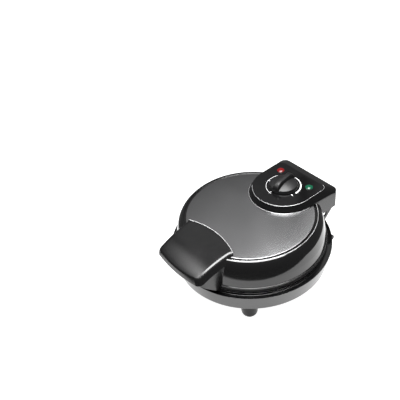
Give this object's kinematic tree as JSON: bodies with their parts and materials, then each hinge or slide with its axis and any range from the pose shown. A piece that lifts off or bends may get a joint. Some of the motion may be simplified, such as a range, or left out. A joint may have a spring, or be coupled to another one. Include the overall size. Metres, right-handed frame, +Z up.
{
  "type": "donut maker",
  "caption": "Round hinged electric donut maker: ring-mould plates in a black base and lid, stainless top disc, front handle, rear control panel with dial.",
  "frame": {"origin": "under the middle of the whole machine, at the table plane under the foot pads", "axes": "+Z up, -Y towards the handle at the front, +Y towards the hinge at the back"},
  "size_m": [0.2116, 0.241, 0.1211],
  "materials": {
    "gloss_black": "high-gloss moulded black",
    "satin_black": "satin moulded black",
    "foot_plastic": "satin moulded black",
    "rubber": "soft matt rubber",
    "knob_plastic": "semi-gloss moulded black",
    "brushed_steel": "fine straight brushing",
    "non_stick": "dark grey non-stick coat",
    "hinge_steel": "plated",
    "screw_steel": "zinc plated",
    "element_sheath": "oxidised sheath",
    "shield_sheet": "mill finish",
    "ceramic": "unglazed ceramic",
    "wire_sleeve": "braided glass sleeve",
    "thermostat_case": "brown thermoset",
    "red_lens": "clear red lens",
    "green_lens": "clear green lens",
    "lamp_glass": "clear"
  },
  "bodies": {
    "base": {"base_housing": "gloss_black", "base_wiring": "wire_sleeve", "bottom_cover": "satin_black", "bottom_cover_screws": "screw_steel", "cord_gland": "satin_black", "cord_hook_left": "satin_black", "cord_hook_right": "satin_black", "foot_back_left": "foot_plastic", "foot_back_right": "foot_plastic", "foot_front_left": "foot_plastic", "foot_front_right": "foot_plastic", "foot_pad_back_left": "rubber", "foot_pad_back_right": "rubber", "foot_pad_front_left": "rubber", "foot_pad_front_right": "rubber", "hinge_bracket_left": "satin_black", "hinge_bracket_right": "satin_black", "hinge_pin": "hinge_steel", "hinge_spacer": "satin_black", "lower_heat_shield": "shield_sheet", "lower_heating_element": "element_sheath", "lower_mould_plate": "non_stick", "lower_plate_screws": "screw_steel", "lower_ring_mould_back_left": "non_stick", "lower_ring_mould_back_right": "non_stick", "lower_ring_mould_front_left": "non_stick", "lower_ring_mould_front_right": "non_stick", "lower_terminal_block": "ceramic"},
    "lid": {"upper_ring_mould_back_left": "non_stick", "upper_ring_mould_back_right": "non_stick", "upper_ring_mould_front_left": "non_stick", "upper_ring_mould_front_right": "non_stick", "lid_housing": "gloss_black", "lid_bezel": "gloss_black", "lid_disc": "brushed_steel", "upper_mould_plate": "non_stick", "upper_plate_screws": "screw_steel", "upper_heating_element": "element_sheath", "upper_heat_shield": "shield_sheet", "upper_terminal_block": "ceramic", "lid_wiring": "wire_sleeve", "thermal_fuse": "ceramic", "control_panel": "satin_black", "hinge_skirt": "satin_black", "hinge_leaf_right": "hinge_steel", "hinge_leaf_left": "hinge_steel", "hinge_leaf_screws": "screw_steel", "thermostat": "thermostat_case", "thermostat_nut": "screw_steel", "red_lamp_lens": "red_lens", "green_lamp_lens": "green_lens", "lamp_bulbs": "lamp_glass", "handle_cover": "gloss_black", "handle_lower_shell": "satin_black", "handle_screws": "screw_steel"},
    "knob": {"thermostat_spindle": "screw_steel", "knob": "knob_plastic"}
  },
  "joints": [
    {"name": "lid_hinge", "type": "hinge", "parent": "base", "child": "lid", "pos_m": [0, 0.11451, 0.06405], "axis": [-1, 0, 0], "range_deg": [0, 100]},
    {"name": "knob_turn", "type": "hinge", "parent": "lid", "child": "knob", "pos_m": [0, 0.06441, 0.11], "axis": [0, 0, 1], "range_deg": [-111, 159]}
  ]
}
